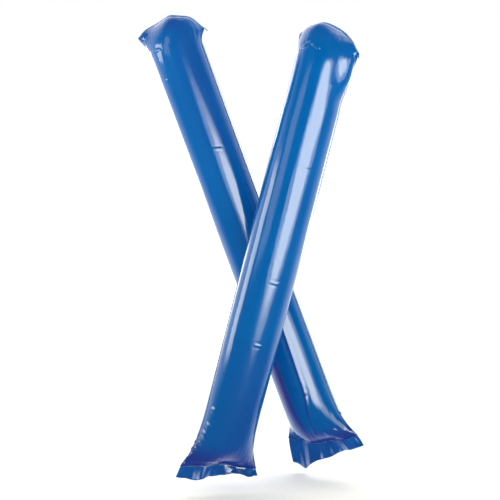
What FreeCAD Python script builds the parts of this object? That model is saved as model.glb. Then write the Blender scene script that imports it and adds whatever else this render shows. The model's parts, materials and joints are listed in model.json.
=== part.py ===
import FreeCAD, Part
import math
import os

# A pair of inflatable cheering sticks, blown up and crossed upright like a letter X.
# Millimetres, +Z up, +X to the right and +Y away from the viewer.
# The origin is the middle of the hand grip on the back stick, on that stick's axis.
# Each stick is drawn in a frame of its own: z runs up the stick from the free edge of the
# base fin, x runs across the flat film and y runs through its two sheets.

# film tube
FLAT_WIDTH = 100.0  # width of the empty, flat tube
BARREL_RADIUS = FLAT_WIDTH / math.pi  # the same film blown up into a round barrel
STICK_LENGTH = 549.0  # inflated, from fin edge to fin edge
FILM = 0.3  # thickness of the film's stand-in sheet

# welded ends
FIN_HEIGHT = 18.0  # film beyond each end weld
FIN_HALF_THICKNESS = 0.45
END_RUN = 62.0  # length over which a flat end grows into the round barrel
DEPTH_POWER = 0.75  # how soon an end fills out; smaller is blunter
BASE_HALF_WIDTH = 46.5  # half of the base weld's width
TIP_HALF_WIDTH = 37.0  # half of the tip weld's width, which is gathered into folds
TIP_FOLD = 8.0  # how far the folds of the tip weld swing to each side
TIP_FOLD_WAVES = 1.5  # folds across the tip weld
SEAM_WIDTH = 1.5  # side weld, outside the barrel
SEAM_HALF_THICKNESS = 0.15

# one-way valve: two plies welded into the base fin that hang free inside
VALVE_FILM = 0.2
VALVE_WIDTH = 28.0
VALVE_OFFSET = -11.0  # from the stick's axis to the middle of the valve, across the weld
VALVE_MOUTH = 2.0  # height of the valve's mouth above the fin's free edge
VALVE_TOP = 72.0
FLAP_FOOT = 21.0  # height where the loose ply starts to open
FLAP_GAP = 0.3  # clearance between the loose ply and the fixed one

# how the pair is arranged
FRONT_TILT = 14.4  # degrees from upright, leaning right
BACK_TILT = -20.5  # leaning left
FRONT_CROSSING = 230.0  # height of the crossing along each stick's own axis
BACK_CROSSING = 216.0
GRIP_HEIGHT = 120.0  # middle of the hand grip along the stick's axis
BARREL_GAP = 0.6  # clearance between the barrels where they cross
TURNS = {
    # turn of the base weld and of the tip weld about the stick's axis, in degrees
    "front_stick": (18.0, -20.0),
    "back_stick": (-28.0, -20.0),
}

# how finely a section and a stick are drawn
PLY_POINTS = 17
END_STEPS = (0.0, 2.0, 6.0, 12.0, 20.0, 32.0, 46.0, 62.0)
BARREL_STEPS = 4

BASE_WELD = FIN_HEIGHT
TIP_WELD = STICK_LENGTH - FIN_HEIGHT


def barrel_heights():
    """Heights of the sections from the base weld to the tip weld, close together at the ends."""
    base = [BASE_WELD + step for step in END_STEPS]
    tip = [TIP_WELD - step for step in reversed(END_STEPS)]
    span = (tip[0] - base[-1]) / BARREL_STEPS
    middle = [base[-1] + span * i for i in range(1, BARREL_STEPS)]
    return base + middle + tip


def fullness(height):
    """0 at either weld, 1 where the stick is round."""
    from_weld = min(height - BASE_WELD, TIP_WELD - height)
    return min(max(from_weld, 0.0) / END_RUN, 1.0)


def at_tip(height):
    return height > STICK_LENGTH / 2


def half_width(height):
    """Half of the section's width, from the outside of one side weld to the other."""
    flat = TIP_HALF_WIDTH if at_tip(height) else BASE_HALF_WIDTH
    return BARREL_RADIUS + (flat - BARREL_RADIUS) * (1 - fullness(height)) ** 2


def half_depth(height):
    """Half of the section's depth, through both sheets."""
    rise = math.sin(math.pi / 2 * fullness(height) ** DEPTH_POWER)
    return FIN_HALF_THICKNESS + (BARREL_RADIUS - FIN_HALF_THICKNESS) * rise


def fold(across, height):
    """How far the folded tip weld has swung, at a place across the section from -1 to 1."""
    if not at_tip(height):
        return 0.0
    swing = TIP_FOLD * (1 - fullness(height)) ** 2
    return swing * math.sin(math.pi * TIP_FOLD_WAVES * across)


def turn(height, turns):
    """The section's turn about the stick's axis: steady in each end, even along the barrel."""
    low = BASE_WELD + END_RUN
    high = TIP_WELD - END_RUN
    share = min(max((height - low) / (high - low), 0.0), 1.0)
    return turns[0] + (turns[1] - turns[0]) * share


def turned(x, y, height, turns):
    angle = math.radians(turn(height, turns))
    across = x * math.cos(angle) - y * math.sin(angle)
    through = x * math.sin(angle) + y * math.cos(angle)
    return FreeCAD.Vector(across, through, height)


def curve(points):
    spline = Part.BSplineCurve()
    spline.interpolate(points)
    return spline.toShape()


def ply_points(side, inset, height, turns):
    """A sheet's line in one section, from its right weld to its left. side is -1 in front."""
    width = half_width(height) - inset
    depth = half_depth(height) - inset
    points = []
    for i in range(PLY_POINTS):
        angle = math.pi * i / (PLY_POINTS - 1)
        across = width * math.cos(angle)
        swing = fold(across / half_width(height), height)
        through = side * depth * math.sin(angle) + swing
        points.append(turned(across, through, height, turns))
    return points


def panel(side, turns):
    """One of the two film sheets, from weld to weld."""
    wires = []
    for height in barrel_heights():
        outer = ply_points(side, 0.0, height, turns)
        inner = ply_points(side, FILM, height, turns)
        inner.reverse()
        edges = [
            curve(outer),
            Part.makeLine(outer[-1], inner[0]),
            curve(inner),
            Part.makeLine(inner[-1], outer[0]),
        ]
        wires.append(Part.Wire(edges))
    return Part.makeLoft(wires, True, False)


def side_seam(side, turns):
    """The weld that joins the two sheets along one side. side is 1 on the right."""
    wires = []
    for height in barrel_heights():
        near = side * half_width(height)
        far = near + side * SEAM_WIDTH
        swing = fold(side, height)
        corners = [
            turned(near, swing - SEAM_HALF_THICKNESS, height, turns),
            turned(far, swing - SEAM_HALF_THICKNESS, height, turns),
            turned(far, swing + SEAM_HALF_THICKNESS, height, turns),
            turned(near, swing + SEAM_HALF_THICKNESS, height, turns),
        ]
        wires.append(Part.makePolygon(corners + corners[:1]))
    return Part.makeLoft(wires, True, False)


def fin(weld, free_edge, turns):
    """The welded strip of both sheets beyond an end weld."""
    wires = []
    low, high = sorted((weld, free_edge))
    for height in (low, high):
        half = half_width(weld) + SEAM_WIDTH
        lines = []
        for side in (-1, 1):
            points = []
            for i in range(PLY_POINTS):
                across = 1 - 2 * i / (PLY_POINTS - 1)
                through = side * FIN_HALF_THICKNESS + fold(across, weld)
                points.append(turned(half * across, through, height, turns))
            lines.append(points)
        front, rear = lines
        rear.reverse()
        edges = [
            curve(front),
            Part.makeLine(front[-1], rear[0]),
            curve(rear),
            Part.makeLine(rear[-1], front[0]),
        ]
        wires.append(Part.Wire(edges))
    return Part.makeLoft(wires, True, True)


def strip(low, high, through, turns):
    """A flat ply of the valve, from one height to another. through is its middle in depth."""
    left = VALVE_OFFSET - VALVE_WIDTH / 2
    corner = FreeCAD.Vector(left, through - VALVE_FILM / 2, low)
    ply = Part.makeBox(VALVE_WIDTH, VALVE_FILM, high - low, corner)
    ply.rotate(FreeCAD.Vector(0, 0, 0), FreeCAD.Vector(0, 0, 1), turns[0])
    return ply


def stick(turns):
    """The pieces of one stick in its own frame."""
    backing = strip(VALVE_MOUTH, VALVE_TOP, 0.0, turns)
    flap = strip(FLAP_FOOT, VALVE_TOP, VALVE_FILM + FLAP_GAP, turns)
    return {
        "front_panel": panel(-1, turns),
        "rear_panel": panel(1, turns),
        "left_seam": side_seam(-1, turns),
        "right_seam": side_seam(1, turns),
        "base_seal": fin(BASE_WELD, 0.0, turns).cut(backing),
        "tip_seal": fin(TIP_WELD, STICK_LENGTH, turns),
        "valve_backing": backing,
        "valve_flap": flap,
    }


def along(tilt, distance):
    """A point that far up an axis that leans by tilt in the XZ plane."""
    lean = math.radians(tilt)
    return FreeCAD.Vector(math.sin(lean) * distance, 0, math.cos(lean) * distance)


# the two axes pass in front of each other at the crossing
CROSSING = along(BACK_TILT, BACK_CROSSING - GRIP_HEIGHT)
FOOT_BACK = along(BACK_TILT, -GRIP_HEIGHT)
FOOT_FRONT = CROSSING - along(FRONT_TILT, FRONT_CROSSING)
FOOT_FRONT.y = -(2 * BARREL_RADIUS + BARREL_GAP)


def place(shape, tilt, foot):
    """Lean a piece from the stick's own frame and set the stick's foot down."""
    placed = shape.copy()
    placed.rotate(FreeCAD.Vector(0, 0, 0), FreeCAD.Vector(0, 1, 0), tilt)
    placed.translate(foot)
    return placed


ARRANGEMENT = {
    "front_stick": (FRONT_TILT, FOOT_FRONT),
    "back_stick": (BACK_TILT, FOOT_BACK),
}

os.makedirs("parts", exist_ok=True)
for name, (tilt, foot) in ARRANGEMENT.items():
    for piece, shape in stick(TURNS[name]).items():
        solid = place(shape, tilt, foot)
        solid.exportStep(f"parts/{name}_{piece}.step")
        print(name, piece, "valid" if solid.isValid() else "NOT VALID", round(solid.Volume, 1))
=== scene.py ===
import json
import math

import bpy
import numpy as np
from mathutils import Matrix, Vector


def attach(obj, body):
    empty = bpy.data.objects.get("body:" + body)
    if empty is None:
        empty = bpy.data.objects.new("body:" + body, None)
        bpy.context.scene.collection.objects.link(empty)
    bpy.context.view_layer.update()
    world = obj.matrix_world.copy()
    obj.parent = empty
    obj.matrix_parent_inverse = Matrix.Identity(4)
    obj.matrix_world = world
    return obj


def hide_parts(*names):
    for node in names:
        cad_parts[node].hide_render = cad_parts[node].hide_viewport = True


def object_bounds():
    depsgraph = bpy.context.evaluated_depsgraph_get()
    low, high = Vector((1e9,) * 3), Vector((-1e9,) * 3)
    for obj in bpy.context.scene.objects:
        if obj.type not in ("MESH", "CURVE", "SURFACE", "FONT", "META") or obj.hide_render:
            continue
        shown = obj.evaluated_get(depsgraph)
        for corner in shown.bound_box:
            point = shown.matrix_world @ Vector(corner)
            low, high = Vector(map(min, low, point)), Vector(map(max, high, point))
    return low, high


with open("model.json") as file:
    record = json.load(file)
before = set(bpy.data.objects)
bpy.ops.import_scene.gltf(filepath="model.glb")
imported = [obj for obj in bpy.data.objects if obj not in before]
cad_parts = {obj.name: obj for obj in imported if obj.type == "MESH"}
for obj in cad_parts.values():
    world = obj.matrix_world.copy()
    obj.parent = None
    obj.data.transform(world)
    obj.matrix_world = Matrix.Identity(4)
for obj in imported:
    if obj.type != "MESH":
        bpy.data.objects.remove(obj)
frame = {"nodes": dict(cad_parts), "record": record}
cad_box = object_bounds()
record = frame["record"]
scene = bpy.context.scene

# ---------------------------------------------------------------- driving sizes, in metres
FLAT_WIDTH = 0.100  # film tube laid flat
RADIUS = FLAT_WIDTH / math.pi
GRIP_HEIGHT = 0.120  # from the base fin's edge to the grip mount
BASE_RUN = 0.062  # length over which the base grows round
TIP_RUN = 0.048  # and the tip, which is blunter
BASE_FILM = 0.066  # film laid flat along those lengths
TIP_FILM = 0.063
PULL = 0.006  # how much shorter the flat film is, so that air holds it taut
FILM = 0.00012
FIN_THICKNESS = 0.00030
TIP_FIN = 0.014  # film beyond the tip weld
VALVE_WIDTH = 0.028
VALVE_OFFSET = -0.011  # from the stick's axis to the middle of the valve, across the weld
VALVE_TOP = 0.072
VALVE_FOOT = 0.020  # length over which the valve straightens above the weld
VALVE_SINK = 0.3 * FIN_THICKNESS  # how deep in the fin the valve's fixed ply lies
FOLD_LINE = 0.0010  # half-width of the painted shade along an old fold line
SEAM_WIDTH = 0.0005

# ---------------------------------------------------------------- mesh and simulation
COLS = 34  # quads across one sheet
END_ROWS = 24
BARREL_ROWS = 132
FIN_ROWS = 7
VALVE_ROWS = 18
SIM_SCALE = 10.0  # cloth works best near life-size garments
SIM_FRAMES = 26
PRESSURE = 12.0
BASE_DEPTH_POWER = 0.75  # how soon an end fills out; smaller is blunter
TIP_DEPTH_POWER = 0.50
BASE_FOLD_WAVES = 2.2  # half-waves across half of a weld
TIP_FOLD_WAVES = 1.5
CALM = ((3, 5), (9, END_ROWS))  # rows to each side that are averaged, and rows to fade in
BASE_SHADE = (0.75, 0.020)  # how much painted shade darkens the film at the base weld, and how far up
# the same painted shade at the tip weld
TIP_SHADE = (0.25, 0.016)
# painted shade along old fold lines
FOLD_SHADE = 0.7
# painted shade over the base fins
FIN_SHADE = 0.10

# ---------------------------------------------------------------- creases, fins and side welds
CREASE_PULL = 0.4  # how far the film beside a crease is drawn in, as a share of its height
NEAR_AXIS = 1e-4  # a crease's push is divided by its distance from the axis, or by this if less
FIN_RIPPLES = ((0.0010, 11), (0.0007, 23))  # how high and how close together across a base fin
FIN_PLEATS = (0.0005, 47)
TIP_BEND_SWING = 14  # degrees by which a tip fin's fold varies across it
TIP_BEND_WAVES = 4.5
TIP_BEND_ROWS = 3  # rows over which it folds
SEAM_SUNK = 0.15  # how far a side weld reaches inside the film's edge, as a share of its width


class Stick:
    """How one stick is held and how its welded ends lie. Heights are along its axis."""

    def __init__(self, name, base_turn, tip_turn, base_weld, base_edge, tip_weld,
                 base_curl, base_spread, tip_bend, tip_fold, base_fold, tip_half, base_half, seed, marks,
                 shades, fold_shade_lines):
        self.name = name
        self.base_turn = math.radians(base_turn)
        self.tip_turn = math.radians(tip_turn)
        self.base_weld = base_weld
        self.base_edge = base_edge
        self.tip_weld = tip_weld
        self.base_curl = base_curl
        self.base_spread = base_spread
        self.tip_bend = tip_bend
        self.tip_fold = tip_fold
        self.base_fold = base_fold
        self.tip_half = tip_half
        self.base_half = base_half
        self.seed = seed
        self.marks = marks
        self.shades = shades
        self.fold_shade_lines = fold_shade_lines
        grip = next(m for m in record["mounts"] if m["name"] == name + "_grip")
        self.up = Vector(grip["axis"]).normalized()
        self.depth = Vector((0, 1, 0))
        self.across = self.depth.cross(self.up).normalized()
        self.foot = Vector(grip["pos_m"]) - self.up * GRIP_HEIGHT
        self.base_middle = base_weld[len(base_weld) // 2]
        self.tip_middle = tip_weld[len(tip_weld) // 2]
        self.film_length = (
            self.tip_middle - self.base_middle + BASE_FILM + TIP_FILM - BASE_RUN - TIP_RUN - PULL
        )

    def world(self, points):
        """Rows of (across, depth, height) in the stick's own frame, as points in the scene."""
        points = np.asarray(points)
        axes = np.array([self.across, self.depth, self.up])
        return points @ axes + np.array(self.foot)


def along(values, u):
    """A smooth line through evenly spaced values from u = -1, the left, to u = 1, the right."""
    places = np.linspace(-1, 1, len(values))
    u = float(u)
    k = int(min(max(np.searchsorted(places, u) - 1, 0), len(values) - 2))
    t = (u - places[k]) / (places[k + 1] - places[k])
    before = values[max(k - 1, 0)]
    after = values[min(k + 2, len(values) - 1)]
    a, b = values[k], values[k + 1]
    slope_a, slope_b = (b - before) / 2, (after - a) / 2
    return (
        a * (2 * t**3 - 3 * t**2 + 1)
        + slope_a * (t**3 - 2 * t**2 + t)
        + b * (3 * t**2 - 2 * t**3)
        + slope_b * (t**3 - t**2)
    )


# weld lines, the base's free edge and its curl are given at even places from left to right
FRONT = Stick(
    "front_stick", base_turn=18, tip_turn=-14,
    base_weld=(0.007, 0.011, 0.016, 0.018, 0.019),
    base_edge=(-0.007, -0.007, -0.006, -0.001, 0.001, 0.006, 0.011, 0.010, 0.012),
    tip_weld=(0.523, 0.532, 0.535, 0.539, 0.539, 0.5365, 0.532, 0.5255, 0.514),
    base_curl=(0.001, -0.002, 0.003, -0.006, -0.008), base_spread=(0.002, 0.002),
    tip_bend=112, tip_fold=0.0090, base_fold=0.0020, tip_half=0.0370, base_half=0.0460, seed=3,
    marks=[
        # puckers up the left side above the base
        ((-55, 0.0830), (-44, 0.0812), 0.0013, 0.0009),
        ((-58, 0.0640), (-44, 0.0605), 0.0013, 0.0010),
        ((-66, 0.0540), (-52, 0.0510), 0.0013, 0.0010),
        ((-71, 0.0465), (-48, 0.0425), 0.0014, 0.0013),
        ((-76, 0.0390), (-56, 0.0355), 0.0014, 0.0012),
        ((-80, 0.0310), (-62, 0.0280), 0.0015, 0.0012),
        # a fold across the left of the tip
        ((-64, 0.5050), (-42, 0.5130), 0.0014, 0.0014),
        ((-42, 0.5130), (-18, 0.5085), 0.0014, 0.0014),
        # the flat facet on the right of the tip
        ((68, 0.4740), (62, 0.5120), 0.0095, 0.0046),
        # short nicks across the barrel
        ((4, 0.3768), (31, 0.3770), 0.0010, 0.0004),
        ((5, 0.2410), (27, 0.2402), 0.0010, 0.0004),
        ((7, 0.1674), (23, 0.1669), 0.0010, 0.0005),
    ],
    # painted shade, darker low on the right
    shades=[(30, 55, -0.030, 0.170, 0.30)],
    fold_shade_lines=[],
)
BACK = Stick(
    "back_stick", base_turn=-28, tip_turn=-20,
    base_weld=(0.022, 0.012, 0.006, 0.006, 0.006),
    base_edge=(-0.010, -0.0205, -0.015, -0.012, -0.013, -0.011, -0.009, -0.009, -0.008),
    tip_weld=(0.543, 0.549, 0.5515, 0.553, 0.553, 0.552, 0.548, 0.542, 0.525),
    base_curl=(0.004, -0.004, 0.000, 0.004, -0.003), base_spread=(0.008, 0.005),
    tip_bend=118, tip_fold=-0.0080, base_fold=0.0030, tip_half=0.0385, base_half=0.0450, seed=11,
    marks=[
        # the line along which the empty stick had been folded
        ((5, 0.170), (-1, 0.078), 0.0018, 0.0009),
        ((-1, 0.080), (-20, 0.020), 0.0018, 0.0010),
        # short nicks across the barrel
        ((-3, 0.3880), (17, 0.3840), 0.0010, 0.0005),
        ((31, 0.3837), (53, 0.3806), 0.0010, 0.0005),
        ((44, 0.3542), (65, 0.3491), 0.0011, 0.0005),
        # puckers below the tip and above the base
        ((-76, 0.5200), (-40, 0.5187), 0.0016, 0.0007),
        ((-76, 0.4840), (-45, 0.4815), 0.0013, 0.0004),
        ((14, 0.0240), (26, 0.0160), 0.0014, 0.0010),
        ((30, 0.0250), (44, 0.0170), 0.0014, 0.0010),
        ((62, 0.0400), (78, 0.0340), 0.0014, 0.0009),
    ],
    # painted shade: a dark stripe down the lower left, and darker below the tip
    shades=[(-48, 14, 0.010, 0.170, 0.85), (25, 38, 0.360, 0.620, 0.26)],
    # painted shade along the old fold line
    fold_shade_lines=[((4, 0.170), (-2, 0.078)), ((-2, 0.078), (-21, 0.020))],
)


# ---------------------------------------------------------------- inflating the film
def film_rows(stick):
    """Heights of the film's rows laid flat, from base weld to tip weld, and their share of
    each end: 0 at a weld, 1 where the barrel is round."""
    barrel = stick.film_length - BASE_FILM - TIP_FILM
    ends = np.linspace(0, 1, END_ROWS + 1)
    middle = np.linspace(0, 1, BARREL_ROWS + 1)[1:-1]
    flat = np.concatenate([
        ends * BASE_FILM,
        BASE_FILM + middle * barrel,
        BASE_FILM + barrel + ends * TIP_FILM,
    ])
    share = np.concatenate([ends, np.ones(len(middle)), ends[::-1]])
    return flat, share


def start_point(stick, side, u, share, part):
    """Where a point of the film starts: a smooth pillow end or a round barrel.
    part is 0 at the base weld and 1 at the tip weld."""
    tip = part > 0.5
    soft = (1 - share) ** 2
    half = stick.tip_half if tip else stick.base_half
    width = RADIUS + (half - RADIUS) * soft
    rise = math.sin(math.pi / 2 * share ** (TIP_DEPTH_POWER if tip else BASE_DEPTH_POWER))
    x = width * (math.sin(math.pi / 2 * u) * rise + u * (1 - rise))
    y = side * RADIUS * rise * math.cos(math.pi / 2 * u)
    if tip:
        y += stick.tip_fold * soft * math.sin(math.pi * TIP_FOLD_WAVES * u)
    else:
        y += stick.base_fold * soft * math.sin(math.pi * BASE_FOLD_WAVES * u + 0.5)
    low = along(stick.base_weld, u)
    high = along(stick.tip_weld, u)
    base_mid = stick.base_middle
    tip_mid = stick.tip_middle
    z_base = base_mid + share * BASE_RUN + (low - base_mid) * (1 - share)
    z_tip = tip_mid - share * TIP_RUN + (high - tip_mid) * (1 - share)
    if share < 1:
        z = z_tip if tip else z_base
    else:
        bottom, top = base_mid + BASE_RUN, tip_mid - TIP_RUN
        z = bottom + (top - bottom) * part
    angle = stick.base_turn if not tip else stick.tip_turn
    if share >= 1:
        angle = stick.base_turn + (stick.tip_turn - stick.base_turn) * part
    return (
        x * math.cos(angle) - y * math.sin(angle),
        x * math.sin(angle) + y * math.cos(angle),
        z,
    )


def film_grid(stick):
    """Vertices of both sheets, their flat pattern and quads. index[side][row][column]."""
    flat, share = film_rows(stick)
    rows = len(flat)
    start, rest, faces = [], [], []
    index = {-1: np.zeros((rows, COLS + 1), int), 1: np.zeros((rows, COLS + 1), int)}
    first_round = END_ROWS
    last_round = rows - 1 - END_ROWS
    for j in range(rows):
        part = min(max((j - first_round) / (last_round - first_round), 0.0), 1.0)
        for side in (-1, 1):
            for i in range(COLS + 1):
                joined = j in (0, rows - 1) or i in (0, COLS)
                if side == 1 and joined:
                    index[1][j, i] = index[-1][j, i]
                    continue
                u = 2 * i / COLS - 1
                index[side][j, i] = len(start)
                start.append(start_point(stick, side, u, share[j], part))
                skew = (1 - share[j]) * (
                    (along(stick.base_weld, u) - stick.base_middle) if part < 0.5
                    else (along(stick.tip_weld, u) - stick.tip_middle)
                )
                rest.append((u * FLAT_WIDTH / 2, 0.0, flat[j] + skew))
    for j in range(rows - 1):
        for side in (-1, 1):
            for i in range(COLS):
                quad = [
                    int(index[side][j, i]), int(index[side][j, i + 1]),
                    int(index[side][j + 1, i + 1]), int(index[side][j + 1, i]),
                ]
                faces.append(quad if side == -1 else quad[::-1])
    return np.array(start), np.array(rest), faces, index


def inflate(stick):
    """Blows the flat film up with Blender's cloth and returns where its points end."""
    start, rest, faces, index = film_grid(stick)
    mesh = bpy.data.meshes.new(stick.name + "_flat_film")
    mesh.from_pydata((start * SIM_SCALE).tolist(), [], faces)
    bag = bpy.data.objects.new(stick.name + "_flat_film", mesh)
    scene.collection.objects.link(bag)
    bag.shape_key_add(name="start")
    pattern = bag.shape_key_add(name="flat")
    pattern.data.foreach_set("co", (rest * SIM_SCALE).ravel())
    pattern.value = 0.0
    held = bag.vertex_groups.new(name="held")
    ends = np.concatenate([index[-1][0], index[-1][-1]])
    held.add([int(v) for v in ends], 1.0, "REPLACE")
    cloth = bag.modifiers.new("inflate", "CLOTH")
    film = cloth.settings
    film.quality = 6
    film.mass = 0.05
    film.tension_stiffness = 40
    film.compression_stiffness = 40
    film.shear_stiffness = 25
    film.bending_stiffness = 0.15
    film.tension_damping = 10
    film.compression_damping = 10
    film.shear_damping = 10
    film.bending_damping = 2
    film.air_damping = 3
    film.use_pressure = True
    film.uniform_pressure_force = PRESSURE
    film.vertex_group_mass = "held"
    film.rest_shape_key = pattern
    film.effector_weights.gravity = 0
    cloth.collision_settings.use_collision = False
    cloth.point_cache.frame_start = 1
    cloth.point_cache.frame_end = SIM_FRAMES
    for step in range(1, SIM_FRAMES + 1):
        scene.frame_set(step)
    blown = bag.evaluated_get(bpy.context.evaluated_depsgraph_get())
    places = np.empty(len(start) * 3)
    blown.data.vertices.foreach_get("co", places)
    scene.frame_set(1)
    bpy.data.objects.remove(bag)
    bpy.data.meshes.remove(mesh)
    places = places.reshape(-1, 3) / SIM_SCALE
    return calm_barrel(places, index), index


def calm_barrel(places, index):
    """Evens out the simulation's small ripples: a little in the ends, most where the barrel
    is round and taut."""
    calm = places.copy()
    for reach, fade in CALM:
        kernel = np.hanning(2 * reach + 3)[1:-1]
        kernel /= kernel.sum()
        rippled = calm.copy()
        for side in (-1, 1):
            rows = rippled[index[side]]
            count = rows.shape[0]
            for j in range(reach, count - reach):
                weight = min(1.0, (min(j, count - 1 - j) - reach) / fade)
                even = np.tensordot(kernel, rows[j - reach:j + reach + 1], axes=1)
                calm[index[side][j]] = rows[j] * (1 - weight) + even * weight
    return calm


# ---------------------------------------------------------------- creases in the blown-up film
def between(grid):
    """Twice as many rows, the new ones on smooth curves through the old."""
    padded = np.concatenate([2 * grid[:1] - grid[1:2], grid, 2 * grid[-1:] - grid[-2:-1]])
    middle = (9 * (padded[1:-2] + padded[2:-1]) - padded[:-3] - padded[3:]) / 16
    fine = np.empty((2 * len(grid) - 1, *grid.shape[1:]))
    fine[::2] = grid
    fine[1::2] = middle
    return fine


def refine(grid):
    return between(between(grid).swapaxes(0, 1)).swapaxes(0, 1)


def line_on_film(grid, start, end):
    """How far along a line on the film each point lies, from 0 to 1, and how far from it.
    The ends are (angle, height). Angles are round the stick's axis from the viewer's side, in
    degrees, positive to the right."""
    angle = np.arctan2(grid[..., 0], -grid[..., 1])
    spot = np.stack([angle * RADIUS, grid[..., 2]], axis=-1)
    a = np.array([math.radians(start[0]) * RADIUS, start[1]])
    run = np.array([math.radians(end[0]) * RADIUS, end[1]]) - a
    t = np.clip(((spot - a) @ run) / (run @ run), 0, 1)
    return t, np.linalg.norm(spot - (a + t[..., None] * run), axis=-1)


def crease_film(grid, marks):
    """Presses small folds into a sheet. A mark is a line on the film, its half-width and how
    far it stands out."""
    for start, end, half_width, stand in marks:
        t, away = line_on_film(grid, start, end)
        taper = np.sin(math.pi * (0.9 * t + 0.05)) ** 0.5
        push = stand * taper * np.exp(-((away / half_width) ** 2))
        # a fold stands proud along its middle and pulls the film in beside it
        push -= CREASE_PULL * stand * taper * np.exp(-(((away - 2 * half_width) / half_width) ** 2))
        push /= np.maximum(np.hypot(grid[..., 0], grid[..., 1]), NEAR_AXIS)
        grid[..., 0] += grid[..., 0] * push
        grid[..., 1] += grid[..., 1] * push
    return grid


# ---------------------------------------------------------------- building pieces
def grid_object(name, grid, thickness, levels=1, flip=False, painted_shade=None):
    """A smooth thin sheet from a grid of points, rows by columns."""
    rows, cols = grid.shape[:2]
    faces = []
    for j in range(rows - 1):
        for i in range(cols - 1):
            a = j * cols + i
            quad = [a, a + 1, a + cols + 1, a + cols]
            faces.append(quad[::-1] if flip else quad)
    mesh = bpy.data.meshes.new(name)
    mesh.from_pydata(grid.reshape(-1, 3).tolist(), [], faces)
    for polygon in mesh.polygons:
        polygon.use_smooth = True
    # the painted shade goes to the film's material as a point attribute
    shade = mesh.attributes.new("painted_shade", "FLOAT", "POINT")
    shade.data.foreach_set("value", np.zeros(rows * cols) if painted_shade is None else painted_shade.ravel())
    piece = bpy.data.objects.new(name, mesh)
    scene.collection.objects.link(piece)
    if levels:
        smooth = piece.modifiers.new("smooth", "SUBSURF")
        smooth.levels = levels
        smooth.render_levels = levels
    skin = piece.modifiers.new("skin", "SOLIDIFY")
    skin.thickness = thickness
    skin.offset = -1
    skin.use_even_offset = False
    return piece


def finish_piece(piece, body, material, nodes):
    piece.data.materials.append(material)
    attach(piece, body)
    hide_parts(*nodes)


def base_fin(stick, weld_line):
    """The welded strip below the base: it bends by its curl and ends at its free edge."""
    cols = len(weld_line)
    grid = np.zeros((FIN_ROWS + 1, cols, 3))
    turn = stick.base_turn
    for i in range(cols):
        u = 2 * i / (cols - 1) - 1
        x, y, z = weld_line[i]
        target = along(stick.base_edge, u)
        bend = along(stick.base_curl, u)
        ripple = sum(
            rise * math.sin(waves * u + order * stick.seed)
            for order, (rise, waves) in enumerate(FIN_RIPPLES, 1)
        )
        pleat = FIN_PLEATS[0] * math.sin(FIN_PLEATS[1] * u + 3 * stick.seed) * (0.6 + 0.4 * u)
        for k in range(FIN_ROWS + 1):
            t = k / FIN_ROWS
            push = bend * t * t + (ripple + pleat) * math.sin(math.pi / 2 * t)
            spread = stick.base_spread[0 if u < 0 else 1] * t * u
            grid[k, i] = (
                x - push * math.sin(turn) + spread * math.cos(turn),
                y + push * math.cos(turn) + spread * math.sin(turn),
                z + (target - z) * t,
            )
    return grid


def valve_sheet(stick, fin):
    """The valve's fixed ply: inside the base fin's thickness, then up inside the stick."""
    cols = fin.shape[1]
    turn = stick.base_turn
    ends = [(VALVE_OFFSET + side * VALVE_WIDTH / 2) / stick.base_half for side in (-1, 1)]
    first, last = (round((u + 1) / 2 * (cols - 1)) for u in ends)
    rows = []
    for z in np.linspace(VALVE_TOP, 0, VALVE_ROWS + 1)[:-1]:
        row = []
        for i in range(first, last + 1):
            foot = fin[0, i]
            height = foot[2] + (VALVE_TOP - foot[2]) * z / VALVE_TOP
            share = min((height - foot[2]) / VALVE_FOOT, 1.0)
            share = share * share * (3 - 2 * share)
            across = (2 * i / (cols - 1) - 1) * stick.base_half
            flat = np.array([across * math.cos(turn), across * math.sin(turn), height])
            spot = np.array([foot[0], foot[1], height])
            row.append(spot * (1 - share) + flat * share)
        rows.append(row)
    shift = np.array([VALVE_SINK * math.sin(turn), -VALVE_SINK * math.cos(turn), 0])
    for k in range(FIN_ROWS):
        rows.append([fin[k, i] + shift for i in range(first, last + 1)])
    return np.array(rows)


def tip_fin(stick, weld_line):
    """The welded strip above the tip, folded over to the back close to the weld."""
    cols = len(weld_line)
    grid = np.zeros((FIN_ROWS + 1, cols, 3))
    turn = stick.tip_turn
    step = TIP_FIN / FIN_ROWS
    for i in range(cols):
        u = 2 * i / (cols - 1) - 1
        spot = np.array(weld_line[i], float)
        grid[0, i] = spot
        last = math.radians(stick.tip_bend + TIP_BEND_SWING * math.sin(TIP_BEND_WAVES * u + stick.seed))
        for k in range(1, FIN_ROWS + 1):
            lean = last * min(k / TIP_BEND_ROWS, 1)
            back = math.sin(lean) * step
            spot = spot + (-back * math.sin(turn), back * math.cos(turn), math.cos(lean) * step)
            grid[k, i] = spot
    return grid


def seam_grid(edge_line, middle_line):
    """The side weld: a narrow strip that stands straight out of the film's edge."""
    edge_line = np.asarray(edge_line)
    out = edge_line - np.asarray(middle_line)
    out[:, 2] = 0
    out /= np.linalg.norm(out, axis=1)[:, None]
    steps = np.linspace(-SEAM_SUNK, 1, 3)
    return np.array([edge_line + out * SEAM_WIDTH * s for s in steps])


# ---------------------------------------------------------------- materials
PAINTED_SHADE_VIOLET = (0.024, 0.022, 0.270)  # painted shade: a darker violet where the film turns steep round a weld, in patches and along folds


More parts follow.
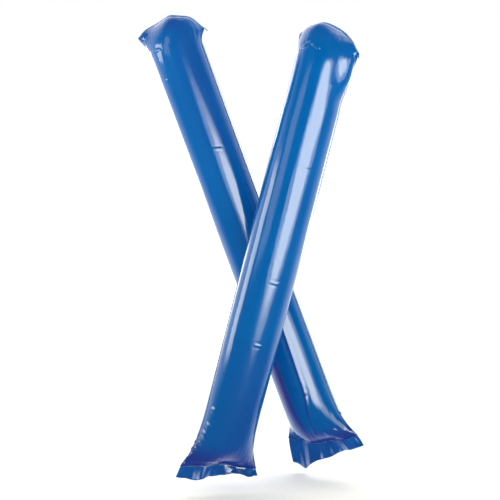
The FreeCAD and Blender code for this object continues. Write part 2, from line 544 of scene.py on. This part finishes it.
def film_material(name, colour, deep, roughness, ripples):
    """Glossy coloured film: a slightly uneven colour, painted shade in places, and soft ripples."""
    material = bpy.data.materials.new(name)
    material.use_nodes = True
    nodes, links = material.node_tree.nodes, material.node_tree.links
    shader = nodes["Principled BSDF"]
    shader.inputs["Roughness"].default_value = roughness
    shader.inputs["IOR"].default_value = 1.5
    place = nodes.new("ShaderNodeTexCoord")
    cloud = nodes.new("ShaderNodeTexNoise")
    cloud.inputs["Scale"].default_value = 14.0
    cloud.inputs["Detail"].default_value = 3.0
    links.new(place.outputs["Object"], cloud.inputs["Vector"])
    tint = nodes.new("ShaderNodeMix")
    tint.data_type = "RGBA"
    tint.inputs["A"].default_value = (*deep, 1)
    tint.inputs["B"].default_value = (*colour, 1)
    links.new(cloud.outputs["Fac"], tint.inputs["Factor"])
    # painted shade: mixes in a darker violet by the mesh's attribute
    painted_shade = nodes.new("ShaderNodeMix")
    painted_shade.data_type = "RGBA"
    painted_shade.inputs["B"].default_value = (*PAINTED_SHADE_VIOLET, 1)
    shade = nodes.new("ShaderNodeAttribute")
    shade.attribute_name = "painted_shade"
    links.new(shade.outputs["Fac"], painted_shade.inputs["Factor"])
    links.new(tint.outputs["Result"], painted_shade.inputs["A"])
    links.new(painted_shade.outputs["Result"], shader.inputs["Base Color"])
    ripple = nodes.new("ShaderNodeTexNoise")
    ripple.inputs["Scale"].default_value = 60.0
    ripple.inputs["Detail"].default_value = 2.0
    links.new(place.outputs["Object"], ripple.inputs["Vector"])
    bump = nodes.new("ShaderNodeBump")
    bump.inputs["Strength"].default_value = ripples
    bump.inputs["Distance"].default_value = 0.0006
    links.new(ripple.outputs["Fac"], bump.inputs["Height"])
    links.new(bump.outputs["Normal"], shader.inputs["Normal"])
    grain = nodes.new("ShaderNodeMapRange")
    grain.inputs["To Min"].default_value = roughness * 0.85
    grain.inputs["To Max"].default_value = roughness * 1.2
    links.new(cloud.outputs["Fac"], grain.inputs["Value"])
    links.new(grain.outputs["Result"], shader.inputs["Roughness"])
    return material


FILM_BLUE = film_material("blue_film", (0.000, 0.140, 0.480), (0.000, 0.105, 0.400), 0.12, 0.05)
# painted light: a lighter blue than the film's, for the base fins, which get less light
WELD_BLUE_PAINTED_LIGHT = film_material("welded_film_painted_light", (0.000, 0.150, 0.520), (0.006, 0.090, 0.440), 0.15, 0.30)
# painted highlight: a paler blue for the folded tip fins, where the fold's edge catches light
FOLD_BLUE_PAINTED_HIGHLIGHT = film_material("folded_film_painted_highlight", (0.060, 0.220, 0.580), (0.030, 0.170, 0.500), 0.20, 0.15)
VALVE_FILM = film_material("valve_film", (0.60, 0.68, 0.80), (0.50, 0.60, 0.76), 0.25, 0.20)


# ---------------------------------------------------------------- the sticks
def painted_film_shade(grid, stick):
    """Painted shade on the film: most at the base weld, a little at the tip weld, and in listed patches
    and along folds.
    """
    from_base = grid[..., 2] - stick.base_middle
    from_tip = stick.tip_middle - grid[..., 2]
    painted_shade = BASE_SHADE[0] * np.exp(-((from_base / BASE_SHADE[1]) ** 2))
    painted_shade += TIP_SHADE[0] * np.exp(-((from_tip / TIP_SHADE[1]) ** 2))
    angle = np.degrees(np.arctan2(grid[..., 0], -grid[..., 1]))
    for middle, reach, low, high, amount in stick.shades:
        lift = np.clip((grid[..., 2] - low) / (high - low), 0, 1)
        painted_shade += amount * np.exp(-(((angle - middle) / reach) ** 2)) * np.sin(math.pi * lift) ** 0.5
    for start, end in stick.fold_shade_lines:
        away = line_on_film(grid, start, end)[1]
        painted_shade += FOLD_SHADE * np.exp(-((away / FOLD_LINE) ** 2))
    return np.clip(painted_shade, 0, 1)


def build_stick(stick):
    places, index = inflate(stick)
    body = stick.name
    sheets = {}
    for side in (-1, 1):
        sheet = refine(places[index[side].ravel()].reshape(*index[side].shape, 3))
        sheets[side] = crease_film(sheet, stick.marks)
    # the two sheets share their edges
    for column in (0, -1):
        sheets[1][:, column] = sheets[-1][:, column]
    for row in (0, -1):
        sheets[1][row] = sheets[-1][row]
    for side, label in ((-1, "front"), (1, "rear")):
        sheet = sheets[side]
        shown = stick.world(sheet.reshape(-1, 3)).reshape(sheet.shape)
        piece = grid_object(f"{body}_film_{label}", shown, FILM, levels=0, flip=side == 1,
                            painted_shade=painted_film_shade(sheet, stick))
        finish_piece(piece, body, FILM_BLUE, [f"{body}_{label}_panel"])
    middle = (sheets[-1][:, COLS] + sheets[1][:, COLS]) / 2
    for label, column in (("left", 0), ("right", 2 * COLS)):
        strip = seam_grid(sheets[-1][:, column], middle)
        strip = stick.world(strip.reshape(-1, 3)).reshape(strip.shape)
        piece = grid_object(f"{body}_weld_{label}", strip, FIN_THICKNESS, levels=0)
        finish_piece(piece, body, FILM_BLUE, [f"{body}_{label}_seam"])
    fins = {"base": base_fin(stick, sheets[-1][0]), "tip": tip_fin(stick, sheets[-1][-1])}
    for label, fin in fins.items():
        # painted shade over the base fins, none on the tip fins
        shade = np.full(fin.shape[:2], FIN_SHADE if label == "base" else 0.0)
        shown = stick.world(fin.reshape(-1, 3)).reshape(fin.shape)
        piece = grid_object(f"{body}_fin_{label}", shown, FIN_THICKNESS, levels=1, painted_shade=shade)
        material = WELD_BLUE_PAINTED_LIGHT if label == "base" else FOLD_BLUE_PAINTED_HIGHLIGHT
        finish_piece(piece, body, material, [f"{body}_{label}_seal"])
    ply = valve_sheet(stick, fins["base"])
    ply = stick.world(ply.reshape(-1, 3)).reshape(ply.shape)
    piece = grid_object(f"{body}_valve_ply", ply, FILM, levels=1)
    finish_piece(piece, body, VALVE_FILM, [f"{body}_valve_backing"])


def valve_flap(node):
    """The loose ply of the valve, inside the stick: the CAD solid gets the valve's film."""
    flap = frame["nodes"][node]
    flap.data.materials.clear()
    flap.data.materials.append(VALVE_FILM)


for stick in (FRONT, BACK):
    build_stick(stick)
    valve_flap(stick.name + "_valve_flap")


# ---------------------------------------------------------------- stage, lights and camera
lo, hi = Vector(cad_box[0]), Vector(cad_box[1])
centre = (lo + hi) / 2
FLOOR_GAP = 0.006
FLOOR_HALF = 9.0
STAGE_SHEET = 0.004
FLOOR_GLOW = 0.10  # under the pair, where its shadows fall
FLOOR_FAR_GLOW = 1.0
FLOOR_DIM = (0.3, 1.6)  # how far from the middle the floor brightens from the one to the other
ROOM_GLOW = 0.02
BACKDROP_GLOW = 1.5
GLOW_FADE = (-0.15, 0.55)  # along +Y, from the room's glow to the backdrop's
DOME_RADIUS = 8.5
LAMP_WHITE = (1.0, 0.98, 0.83)
LENS = 85  # millimetres, as is the sensor
SENSOR = 36
CAMERA_ELEVATION = 4
FRAME_HEIGHT = 0.590  # what the square view takes in at the pair
floor_z = lo.z - FLOOR_GAP


def plain_material(name, colour, roughness):
    material = bpy.data.materials.new(name)
    material.use_nodes = True
    shader = material.node_tree.nodes["Principled BSDF"]
    shader.inputs["Base Color"].default_value = (*colour, 1)
    shader.inputs["Roughness"].default_value = roughness
    return material


def build_floor():
    """A pale floor that runs out of sight, dimmer under the pair so that its shadows show."""
    steps = np.linspace(-FLOOR_HALF, FLOOR_HALF, 9)
    grid = np.array([[(x, y, floor_z) for x in steps] for y in steps])
    floor = grid_object("studio_floor", grid, STAGE_SHEET)
    paint = plain_material("floor_paint", (0.90, 0.90, 0.90), 0.9)
    shader = paint.node_tree.nodes["Principled BSDF"]
    shader.inputs["Emission Color"].default_value = (1, 1, 1, 1)
    nodes, links = paint.node_tree.nodes, paint.node_tree.links
    place = nodes.new("ShaderNodeTexCoord")
    reach = nodes.new("ShaderNodeVectorMath")
    reach.operation = "LENGTH"
    glow = nodes.new("ShaderNodeMapRange")
    glow.interpolation_type = "SMOOTHSTEP"
    glow.inputs["From Min"].default_value = FLOOR_DIM[0]
    glow.inputs["From Max"].default_value = FLOOR_DIM[1]
    glow.inputs["To Min"].default_value = FLOOR_GLOW
    glow.inputs["To Max"].default_value = FLOOR_FAR_GLOW
    links.new(place.outputs["Object"], reach.inputs[0])
    links.new(reach.outputs["Value"], glow.inputs["Value"])
    links.new(glow.outputs["Result"], shader.inputs["Emission Strength"])
    floor.data.materials.append(paint)
    floor.visible_glossy = False


def build_backdrop():
    """A white dome round everything, which only the camera sees."""
    rings, steps = 12, 32
    grid = []
    for j in range(rings + 1):
        lift = math.radians(-20 + 110 * j / rings)
        ring = [2 * math.pi * i / steps for i in range(steps + 1)]
        radius = DOME_RADIUS * math.cos(lift)
        height = DOME_RADIUS * math.sin(lift)
        grid.append([(radius * math.cos(a), radius * math.sin(a), height) for a in ring])
    dome = grid_object("studio_backdrop", np.array(grid), STAGE_SHEET)
    paper = plain_material("backdrop_paper", (0, 0, 0), 1.0)
    shader = paper.node_tree.nodes["Principled BSDF"]
    shader.inputs["Emission Color"].default_value = (1, 1, 1, 1)
    shader.inputs["Emission Strength"].default_value = 1.0
    dome.data.materials.append(paper)
    for kind in ("diffuse", "glossy", "transmission", "volume_scatter", "shadow"):
        setattr(dome, "visible_" + kind, False)


def softbox(name, azimuth, distance, low, high, width, radiance, kind, shape="RECTANGLE"):
    """A lamp round the pair, between two heights. Azimuth 0 is the viewer's side, 90 the right.
    Radiance is how bright its face looks. kind "shine" is only mirrored, "fill" only lights."""
    tall = high - low
    area = width * tall * (math.pi / 4 if shape == "ELLIPSE" else 1)
    lamp = bpy.data.lights.new(name, "AREA")
    lamp.shape = shape
    lamp.size = width
    lamp.size_y = tall
    lamp.energy = radiance * math.pi * area
    lamp.color = LAMP_WHITE
    holder = bpy.data.objects.new(name, lamp)
    a = math.radians(azimuth)
    middle = Vector((math.sin(a) * distance, -math.cos(a) * distance, (low + high) / 2))
    holder.location = Vector((centre.x, centre.y, 0)) + middle
    aim = Vector((-math.sin(a), math.cos(a), 0))
    holder.rotation_euler = aim.to_track_quat("-Z", "Y").to_euler()
    holder.visible_diffuse = kind != "shine"
    holder.visible_glossy = kind != "fill"
    scene.collection.objects.link(holder)
    return holder


def build_camera():
    camera = bpy.data.cameras.new("camera")
    camera.lens = LENS
    camera.sensor_width = SENSOR
    holder = bpy.data.objects.new("camera", camera)
    scene.collection.objects.link(holder)
    elevation = math.radians(CAMERA_ELEVATION)
    distance = FRAME_HEIGHT / SENSOR * LENS
    target = Vector((centre.x - 0.001, centre.y, centre.z - 0.003))
    back = Vector((0, -math.cos(elevation), math.sin(elevation)))
    holder.location = target + back * distance
    holder.rotation_euler = (-back).to_track_quat("-Z", "Y").to_euler()
    scene.camera = holder


build_floor()
build_backdrop()
# heights are in the shared frame, in metres
softbox("octabox_right", 28, 1.3, -0.30, 0.64, 1.75, 4.0, "shine", "ELLIPSE")
softbox("octabox_core", 28, 1.28, -0.20, 0.54, 1.10, 9.0, "shine", "ELLIPSE")
softbox("strip_left", -53, 1.2, 0.28, 0.72, 0.56, 1.8, "shine")
softbox("box_left", -89, 1.2, 0.12, 0.56, 0.52, 7.5, "shine")
softbox("rim_right", 148, 1.3, -0.10, 0.70, 0.50, 3.0, "shine")
softbox("rim_left", -148, 1.3, -0.10, 0.70, 0.50, 3.0, "shine")
softbox("fill_right", 50, 1.6, 0.0, 1.4, 1.4, 1.1, "fill")
softbox("fill_left", -50, 1.6, 0.0, 1.4, 1.4, 0.9, "fill")
top = softbox("overhead", 0, 0.2, 0.0, 3.0, 3.0, 1.1, "fill")
top.location = Vector((centre.x, centre.y - 0.05, 1.6))
top.rotation_euler = (0, 0, 0)


def build_world():
    """White surroundings behind the pair and a dimmer room on the viewer's side."""
    world = bpy.data.worlds.new("studio")
    scene.world = world
    world.use_nodes = True
    nodes, links = world.node_tree.nodes, world.node_tree.links
    sky = nodes["Background"]
    sky.inputs["Color"].default_value = (1, 1, 1, 1)
    place = nodes.new("ShaderNodeTexCoord")
    split = nodes.new("ShaderNodeSeparateXYZ")
    fade = nodes.new("ShaderNodeMapRange")
    fade.interpolation_type = "SMOOTHSTEP"
    fade.inputs["From Min"].default_value = GLOW_FADE[0]
    fade.inputs["From Max"].default_value = GLOW_FADE[1]
    fade.inputs["To Min"].default_value = ROOM_GLOW
    fade.inputs["To Max"].default_value = BACKDROP_GLOW
    links.new(place.outputs["Generated"], split.inputs["Vector"])
    links.new(split.outputs["Y"], fade.inputs["Value"])
    links.new(fade.outputs["Result"], sky.inputs["Strength"])


build_world()
build_camera()
scene.view_settings.view_transform = "Standard"
